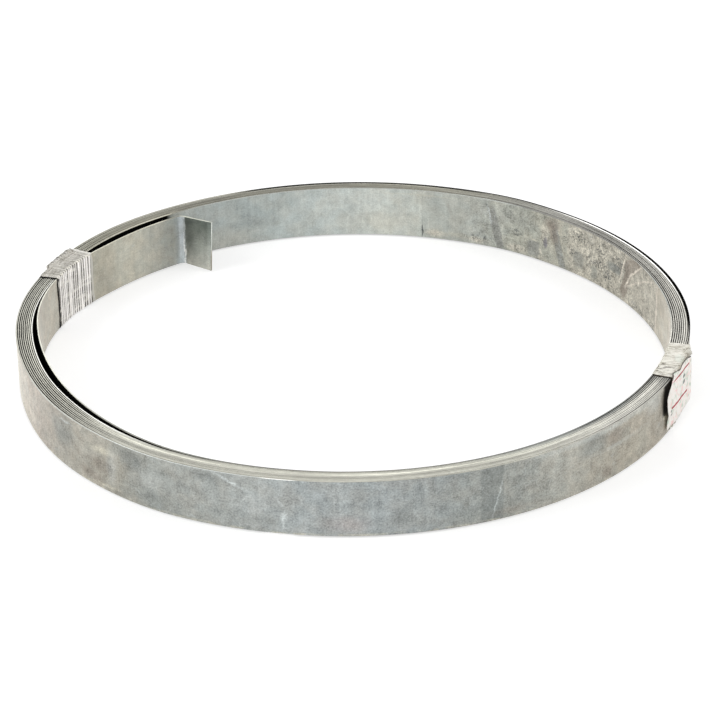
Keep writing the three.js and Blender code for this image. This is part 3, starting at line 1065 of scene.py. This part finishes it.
def addWinding(shape, layer, one, seed, turns, halfAngle, gap, wide, high):
    stops = aroundSection()
    count, sides = int(turns * len(stops)), tie["ribSides"]
    made = bmesh.ops.create_grid(shape, x_segments=count, y_segments=sides, size=0.5, calc_uvs=True)
    for vertex in made["verts"]:
        along = round((vertex.co.x + 0.5) * count)
        side = round((vertex.co.y + 0.5) * sides) % sides
        turn, stop = along / len(stops), stops[along % len(stops)]
        thin = tie["tip"] if along in (0, count) else wander(seed + 3, turn, "ribThin")
        angle = math.tau * side / sides
        sway = one["wander"] * (wander(seed, turn, "sway") + wander(seed + 1, turn, "flutter"))
        offset = sway + wide / 2 * thin * math.cos(angle)
        azimuth = one["centre"] + halfAngle * (1 - 2 * turn / turns) + math.degrees(offset / winding["boreRadius"])
        height = high * wander(seed + 2, turn, "ribTall") * max(math.sin(angle), 0) ** tie["crown"]
        height *= tie["pressed"] if 0 < stop[0] < 1 else 1
        vertex.co = tiePlace(one, azimuth, stop, gap + height)
    for vertex in made["verts"]:
        for corner in vertex.link_loops:
            corner[layer].uv.x *= turns


def addSleeve(shape, layer, one):
    stops, steps, seed = aroundSection(), tie["sleeveSteps"], one["seed"]
    made = bmesh.ops.create_grid(shape, x_segments=steps, y_segments=len(stops), size=0.5, calc_uvs=True)
    for vertex in made["verts"]:
        share = vertex.co.x + 0.5
        stop = round((vertex.co.y + 0.5) * len(stops)) % len(stops)
        turn = 2 * stop / len(stops)
        fray = (wander(seed, turn, "fray") + wander(seed + 4, turn, "fineFray")) * abs(2 * share - 1) ** 6
        reach = tieHalfAngle + math.degrees(one["ragged"] / winding["boreRadius"]) * fray
        ruck = tie["sleeveRuck"] * wander(seed + 1, share, "ruck")
        vertex.co = tiePlace(one, one["centre"] + reach * (1 - 2 * share), stops[stop], tie["sleeveGap"] + ruck)
    for vertex in made["verts"]:
        for corner in vertex.link_loops:
            corner[layer].uv.x = -1 - corner[layer].uv.x


def buildTie(name, kind, milk, material, node):
    shape, one = bmesh.new(), tie[kind]
    layer = shape.loops.layers.uv.new("filmMap")
    milkiness = shape.verts.layers.float.new("milk")
    reach = tieHalfAngle - math.degrees(tie["hem"] / winding["boreRadius"])
    addSleeve(shape, layer, one)
    for seed, turns, halfAngle, gap, wide, high in (
        (0, winding["tieWidth"] / tie["pitch"], reach, tie["sleeveGap"], 1.0, 1.0),
        (20, tie["crossings"], -reach * 0.9, tie["crossGap"], 0.8, 0.6),
    ):
        addWinding(
            shape, layer, one, one["seed"] + seed, turns, halfAngle, gap,
            tie["ribWidth"] * wide, tie["ribHeight"] * high,
        )
    bmesh.ops.remove_doubles(shape, verts=shape.verts, dist=0.002 * mm)
    for vertex in shape.verts:
        vertex[milkiness] = milk
    makePiece(name, shape, (material,), "wrapping_film", node)


film = {
    "rib": tint(253, 250, 246),
    "creamRib": tint(242, 239, 226),
    "gap": tint(100, 96, 92),  # painted shade between the clearer tie's ribs
    "hem": tint(226, 223, 214),
    "topGap": tint(158, 153, 141),
    "topRib": tint(244, 241, 230),
    "crease": tint(164, 156, 138),
    "smooth": tint(226, 229, 217),
    "dirtAndShade": tint(84, 74, 62),
    "topDark": tint(160, 154, 141),
    "topLight": tint(232, 228, 218),
    # painted shadow under the film's cut end, where it stands off the steel
    "edge": tint(16, 15, 14),
    "soil": tint(92, 80, 66),
    "ribsFrom": -0.5,  # along the film's map: the sleeve lies before this and the ribs after it
    "sleeveMiddle": 1.5,  # and how far before its start the sleeve's middle is
    "otherEnd": -2.2,  # swaps the milky tie's two ends
    "ribAlpha": (0.15, 0.8),  # how much more where it is milky, and elsewhere
    "gapAlpha": (0.25, 0.55),
    "topAlpha": 0.86,  # how much of a rib's is left on the upper side
    "topGapAlpha": 0.15,  # and how much more a gap has there
    "milkAlpha": 1.05,
    "strengths": {"wrinkles": 0.5, "topLines": 0.6, "dashes": 0.8, "hem": 0.8},
    "glow": 0.3,  # painted light: the clearer tie's ribs glow, as if lit through from behind
    "roughness": 0.3,
    "edgeRoughness": 0.6,  # how much rougher the painted dark end is
    "streak": (1.1, 3, 0.6, 0.0, (1, 1, 0.12)),
    "folds": (0.7, 3, 0.6, 1.2, (0.2, 0.8, 0.12), (0, 0, 27.5)),
    "bands": ((0.5, 0.6), 0.36, 3, 0.6, 0.0, (0.2, 0.2, 1), (3, 8, 0)),
    "wrinkles": ((0.38, 0.5, 1, 0), 1.3, 4, 0.7, 1.0, (0.5, 1, 1), (0, 0, 0), 24.0),
    "topLines": ((0.4, 0.56), 0.8, 3, 0.6, 0.3, (1, 0.12, 1)),
    "dashes": ((0.46, 0.54), 0.7, 3, 0.6, 0.0, (0.1, 1, 1), (0, 5, 0)),
    "glows": ((0.38, 0.6, 0.25, 1), 0.4, 2, 0.5, 0.0, (1, 1, 0.2), (0, 0, 9)),
    "bump": (0.6, 0.4 * mm),
    "milky": (0.4, 0.62),
    "creased": (0.38, 0.52),
    "dirty": (0.42, 0.52),
    "soiled": (0.4, 0.55),
    "fray": (0.8, 2.4),
    "patch": (2.0, 0.35),  # how square and how soft
    "upperSide": (-0.6, 0.1),  # above the strip's upper edge (mm)
    "hemEnd": (-0.455, -0.445),  # shares of the way along the coil from a tie's middle
    "darkEnd": (0.462, 0.468),
    # Where each thing lies round the bundle's section, from its inner upper corner outward, as shares of it
    "innerWall": (0.965, 0.98),
    "innerCorner": (0.07, 0.11),
    "outerTop": (0.105, 0.16),
    "outerCorner": ((0.2, 0.215), (0.25, 0.265)),
    "patches": (  # on the second tie's upper side: distance out, azimuth, half sizes (mm), turn, shade, strength
        (179.8, 341.2, 2.6, 4.4, 20, "smooth", 0.8),
        # the dark patches are brown dirt between the ribs, and painted shadow under the film's lifted end
        (175.0, 336.8, 5.0, 6.4, 0, "dirtAndShade", 0.75),
        (173.2, 334.9, 2.8, 1.8, 0, "dirtAndShade", 1.0),
        (179.0, 336.2, 3.4, 3.0, 0, "dirtAndShade", 1.0),
    ),
}


def addPatches(colour, around, folds, onTop):
    frayed = ragged(around, *film["fray"])
    for out, azimuth, across, along, turned, shade, strength in film["patches"]:
        centre = out, math.radians(azimuth) * strip["runRadius"] / mm
        mask = oval(frayed, centre, (across, along), turned, *film["patch"])
        if shade == "dirtAndShade":
            mask = times(mask, falling(folds, *film["dirty"]))
        colour = mixed(times(mask, strength, onTop), colour, film[shade])
    return colour


def buildFilm():
    material, tree, shader = newMaterial("stretchFilm")
    where = mapOf(tree, "filmMap")
    along = axisOf(where, "X")
    onSleeve = calc("LESS_THAN", along, film["ribsFrom"])
    onRib = unlike(onSleeve)
    # 0 to 1 round the bundle's section, from the inner upper corner outward
    ring = chosen(onSleeve, calc("FRACT", along), axisOf(where, "Y"))
    place = shifted(objectPlace(tree), (1000, 1000, 1000))
    around = aroundCoil(tree)
    height = axisOf(place, "Z")
    onTop = remap(calc("SUBTRACT", height, stripHigh.z / mm), *film["upperSide"])
    inner = anyOf(falling(ring, *film["innerCorner"]), remap(ring, *film["innerWall"]))
    milk, strengths = attribute(tree, "milk"), film["strengths"]
    clear = unlike(milk)
    streak, folds = grain(place, film["streak"]), grain(place, film["folds"])
    milky = remap(streak, *film["milky"])

    milkyRib = mixed(remap(folds, *film["creased"]), film["crease"], film["creamRib"])
    rib = mixed(clear, milkyRib, mixed(onTop, film["rib"], film["topRib"]))
    gap = mixed(flecks(place, film["bands"]), film["gap"], film["hem"])
    gap = mixed(times(onTop, unlike(inner)), gap, film["topGap"])
    colour = mixed(onSleeve, rib, mixed(milk, gap, rib))
    wrinkled = times(onTop, clear, flecks(place, film["wrinkles"]), strengths["wrinkles"])
    colour = mixed(wrinkled, colour, film["gap"])
    lines = flecks(around, film["topLines"])
    outerTop = times(remap(ring, *film["outerTop"]), onTop, clear, strengths["topLines"])
    colour = mixed(outerTop, colour, mixed(lines, film["topDark"], film["topLight"]))
    # painted shade in dashes along the outer upper corner, on the far side of the film's bulge
    dashed = flecks(around, film["dashes"])
    corner = times(within(ring, *film["outerCorner"]), dashed, clear, strengths["dashes"])
    colour = mixed(corner, colour, film["gap"])
    colour = addPatches(colour, around, folds, onTop)

    # The sleeve's two ends: a pale hem at one, and at the other a painted shadow along the film's cut edge, where
    # it stands off the steel, browner on the milkier tie
    end = calc("ADD", along, film["sleeveMiddle"])
    end = times(end, calc("MULTIPLY_ADD", milk, film["otherEnd"], 1.0))
    hem = times(onSleeve, falling(end, *film["hemEnd"]), clear)
    colour = mixed(hem, colour, film["hem"])
    upward = anyOf(clear, remap(height, 3, 6))
    dark = times(onSleeve, remap(end, *film["darkEnd"]), upward)
    soiled = times(milk, remap(streak, *film["soiled"]))
    colour = mixed(dark, colour, mixed(soiled, film["edge"], film["soil"]))

    ribAlpha = calc("MULTIPLY_ADD", milky, *film["ribAlpha"])
    ribAlpha = times(ribAlpha, calc("MULTIPLY_ADD", onTop, film["topAlpha"] - 1, 1.0))
    gapAlpha = calc("MULTIPLY_ADD", milky, *film["gapAlpha"])
    gapAlpha = calc("MULTIPLY_ADD", onTop, film["topGapAlpha"], gapAlpha)
    alpha = chosen(onSleeve, ribAlpha, gapAlpha)
    alpha = anyOf(alpha, times(milk, film["milkAlpha"]), dark, times(hem, strengths["hem"]))
    # painted light: the clearer tie's ribs glow in patches, with a painted highlight where they turn over the inner
    # corner
    paintedGlow = times(flecks(place, film["glows"]), unlike(onTop))
    paintedGlow = times(anyOf(paintedGlow, inner), onRib, clear)
    fill(shader, {
        "Base Color": colour,
        "Alpha": calc("MINIMUM", alpha, 1.0),
        "Emission Color": scaled(colour, paintedGlow),
        "Emission Strength": film["glow"],
        "Roughness": calc("MULTIPLY_ADD", dark, film["edgeRoughness"], film["roughness"]),
        "Metallic": dark,  # a metal this dark reflects nothing
    })
    addBump(shader, chosen(milk, streak, folds), *film["bump"])
    return material


# The paper label: a stiff, slightly crumpled sheet over the second tie's outer side. Its lengths are along the
# coil from where it comes nearest the axis, and up from the floor.
label = {
    "facing": 336.0,  # the azimuth that the sheet faces
    "reach": 183.15 * mm,  # from the axis to the sheet
    "thickness": 0.18 * mm,
    "left": (  # share of the way up, and where the edge lies (mm)
        (0.0, -12.0), (0.1, -12.2), (0.19, -12.0), (0.31, -13.2), (0.44, -14.7), (0.6, -15.9), (0.74, -15.9),
        (0.83, -13.3), (0.91, -10.0), (1.0, -9.5),
    ),
    "right": ((0.0, 23.9), (0.16, 25.3), (0.3, 24.8), (0.46, 25.3), (0.7, 24.8), (0.9, 23.4), (1.0, 22.4)),
    "bottom": ((0.0, 3.5), (0.5, 3.7), (1.0, 4.6)),
    "top": (  # share of the way along, and its height (mm)
        (0.0, 32.4), (0.05, 32.9), (0.2, 34.6), (0.27, 33.9), (0.31, 33.3), (0.36, 32.7), (0.43, 32.2),
        (0.47, 33.3), (0.56, 33.6), (0.66, 33.4), (0.82, 32.7), (1.0, 30.8),
    ),
    "foldLevel": 32.4 * mm,  # above this its leading corner folds in over the tie
    "foldEnds": (0.42, 0.48),
    "crumple": ((0.2 * mm, 110.0), (0.12 * mm, 330.0)),  # how deep, and how close
    "columns": 60,
    "rows": 44,
    "rules": (  # height (mm) halfway, slope, bend, half width (mm), from and to along the label (mm)
        (29.0, -0.074, 0.0016, 0.5, (-11.0, -2.0), (19.0, 19.6)),
        (14.1, -0.073, 0.001, 0.6, (-8.8, -8.2), (18.0, 18.6)),
    ),
    # place along and up the label, and half sizes (mm)
    "dashes": ((11.1, 24.6, 1.7, 0.9), (11.3, 21.2, 1.6, 1.1), (-9.0, 13.5, 0.8, 0.8), (-7.4, 10.9, 0.9, 0.8)),
    "settled": ((8.0, 13.0), (-9.0, 0.0), 0.9 * mm),  # its lower leading corner lies closer to the steel
}


def labelPlace(share, rise):
    left, right = between(label["left"], rise), between(label["right"], rise)
    low, high = between(label["bottom"], share), between(label["top"], share)
    run, level = (left + (right - left) * share) * mm, (low + (high - low) * rise) * mm
    facing = polar(1, label["facing"])
    away = label["reach"] + sum(
        depth * noise.noise(Vector((run, level, 0)) * close) for depth, close in label["crumple"]
    )
    (low, high), (near, far), depth = label["settled"]
    away -= depth * (1 - smoothStep(level / mm, low, high)) * (1 - smoothStep(run / mm, near, far))
    folded = max(level - label["foldLevel"], 0) * (1 - smoothStep(share, *label["foldEnds"]))
    spot = facing * (away - folded) + Vector((-facing.y, facing.x, 0)) * run
    return spot + Vector((0, 0, level - folded)), (run / mm, level / mm)


def buildLabel(material):
    shape = bmesh.new()
    layer = shape.loops.layers.uv.new("labelMap")
    upward = shape.verts.layers.float.new("upward")
    bmesh.ops.create_grid(shape, x_segments=label["columns"], y_segments=label["rows"], size=0.5, calc_uvs=True)
    for vertex in shape.verts:
        vertex[upward] = vertex.co.y + 0.5
        vertex.co, onSheet = labelPlace(vertex.co.x + 0.5, vertex.co.y + 0.5)
        for corner in vertex.link_loops:
            corner[layer].uv = onSheet
    bmesh.ops.recalc_face_normals(shape, faces=shape.faces)
    bmesh.ops.solidify(shape, geom=shape.faces[:], thickness=label["thickness"])
    makePiece("parts_label", shape, (material,), "label_paper", "paper_label")


paper = {
    "white": tint(255, 250, 244),
    "pink": tint(252, 220, 216),
    "green": tint(208, 220, 206),
    "red": tint(164, 34, 52),
    "ink": tint(96, 108, 104),
    "shadow": tint(96, 92, 84),
    # painted light: the paper glows a little
    "glow": 0.07,
    "greens": ((0.48, 0.64), 0.2, 3, 0.6, 0.0),
    "pinks": ((0.53, 0.66), 0.24, 3, 0.6, 0.0, (1, 1, 1), (40, 9, 0)),
    "torn": (0.5, 3, 0.6, 0.0),
    "tear": 0.05,
    "tearBorder": (0.985, 1.0),
    "ruleEdge": (0.7, 1.3),  # shares of a rule's half width over which it fades
    "dash": (3.0, 0.4),  # how square and how soft
    "dashInk": 0.9,
    "roughness": 0.7,
}


def buildPaper():
    material, tree, shader = newMaterial("printedPaper")
    where = mapOf(tree, "labelMap")
    run, level = axisOf(where, "X"), axisOf(where, "Y")
    colour = mixed(flecks(where, paper["greens"]), paper["white"], paper["green"])
    colour = mixed(flecks(where, paper["pinks"]), colour, paper["pink"])
    for middle, slope, bend, half, start, end in label["rules"]:
        curve = calc("MULTIPLY_ADD", calc("MULTIPLY_ADD", run, bend, slope), run, middle)
        away = farFrom(level, curve)
        line = times(falling(away, *(half * edge for edge in paper["ruleEdge"])), within(run, start, end))
        colour = mixed(line, colour, paper["red"])
    for across, up, half, high in label["dashes"]:
        mask = oval(where, (across, up), (half, high), 0.0, *paper["dash"])
        colour = mixed(times(mask, paper["dashInk"]), colour, paper["ink"])
    # painted shadow along the label's ragged top edge
    torn = calc("MULTIPLY_ADD", grain(where, paper["torn"]), paper["tear"], attribute(tree, "upward"))
    colour = mixed(remap(torn, *paper["tearBorder"]), colour, paper["shadow"])
    # painted light: a faint glow of the paper's own colour
    fill(shader, {
        "Base Color": colour, "Emission Color": colour, "Emission Strength": paper["glow"],
        "Roughness": paper["roughness"],
    })
    return material


print("Stage: camera, floor and lamps")
view = {
    "place": (0.0, -1.27824, 0.65780),
    "turns": (("Z", -0.194), ("X", 62.894), ("Z", -0.748)),
    "lens": 132.19,  # for a sensor this wide (mm)
    "sensor": 36,
}


def addCamera():
    data = bpy.data.cameras.new("camera")
    data.lens, data.sensor_width = view["lens"], view["sensor"]
    data.clip_start, data.clip_end = 0.01, 50
    turned = [Matrix.Rotation(math.radians(angle), 4, axis) for axis, angle in view["turns"]]
    camera = placed("camera", data)
    camera.matrix_world = reduce(lambda place, turn: place @ turn, turned, Matrix.Translation(view["place"]))
    bpy.context.scene.camera = camera


studio = {
    "floorSize": 8.0,
    "floorGrey": 0.6,
    "floorGlow": 0.55,  # what the camera sees on top of the floor's own light
    "skyLight": 0.6,
    "lamps": (  # name, place, size, watts
        ("leftLamp", (-1.5, -0.5, 1.1), 1.0, 13.0),
        ("rightLamp", (1.5, -0.3, 1.0), 0.9, 8.5),
        ("rimLamp", (0.0, 1.3, 0.75), 0.8, 4.0),
    ),
}


def addLamps():
    for name, place, size, watts in studio["lamps"]:
        data = bpy.data.lights.new(name, "AREA")
        data.size, data.energy = size, watts
        lamp = placed(name, data)
        lamp.location = place
        lamp.rotation_euler = (-Vector(place)).to_track_quat("-Z", "Y").to_euler()


def seenDirectly(tree):  # 1 for what the camera, a reflection or a look through film sees
    rays = addNode("LightPath", {}, tree).outputs
    return anyOf(*(rays[f"Is {kind} Ray"] for kind in ("Camera", "Glossy", "Transmission")))


def addSky():
    world = bpy.data.worlds.new("softSky")
    world.use_nodes = True
    bpy.context.scene.world = world
    tree = world.node_tree
    strength = calc("MULTIPLY_ADD", seenDirectly(tree), 1 - studio["skyLight"], studio["skyLight"])
    fill(tree.nodes["Background"], {"Color": (1, 1, 1, 1), "Strength": strength})


def addFloor():
    material, tree, shader = newMaterial("paleFloor")
    tree.nodes.remove(shader)
    grey = studio["floorGrey"]
    matt = addNode("BsdfDiffuse", {"Color": (grey, grey, grey, 1)}, tree)
    glow = addNode("Emission", {"Strength": times(seenDirectly(tree), studio["floorGlow"])})
    both = addNode("AddShader", {0: matt.outputs[0], 1: glow.outputs[0]})
    fill(tree.nodes["Material Output"], {"Surface": both.outputs[0]})
    shape = bmesh.new()
    bmesh.ops.create_grid(shape, x_segments=1, y_segments=1, size=studio["floorSize"] / 2)
    placed("floor", meshOf("floor", shape, (material,)))


addCamera()
addLamps()
addSky()
addFloor()
bpy.context.scene.view_settings.view_transform = "Standard"

print("Stage: strip")
buildStrip((buildZincFace(True), buildZincFace(False), buildSlitEdge()))

print("Stage: film ties")
wrap = buildFilm()
buildTie("film_wrap_left", "left", 0.0, wrap, "film_tie_left")
buildTie("film_wrap_right", "right", 0.9, wrap, "film_tie_right")

print("Stage: label")
buildLabel(buildPaper())
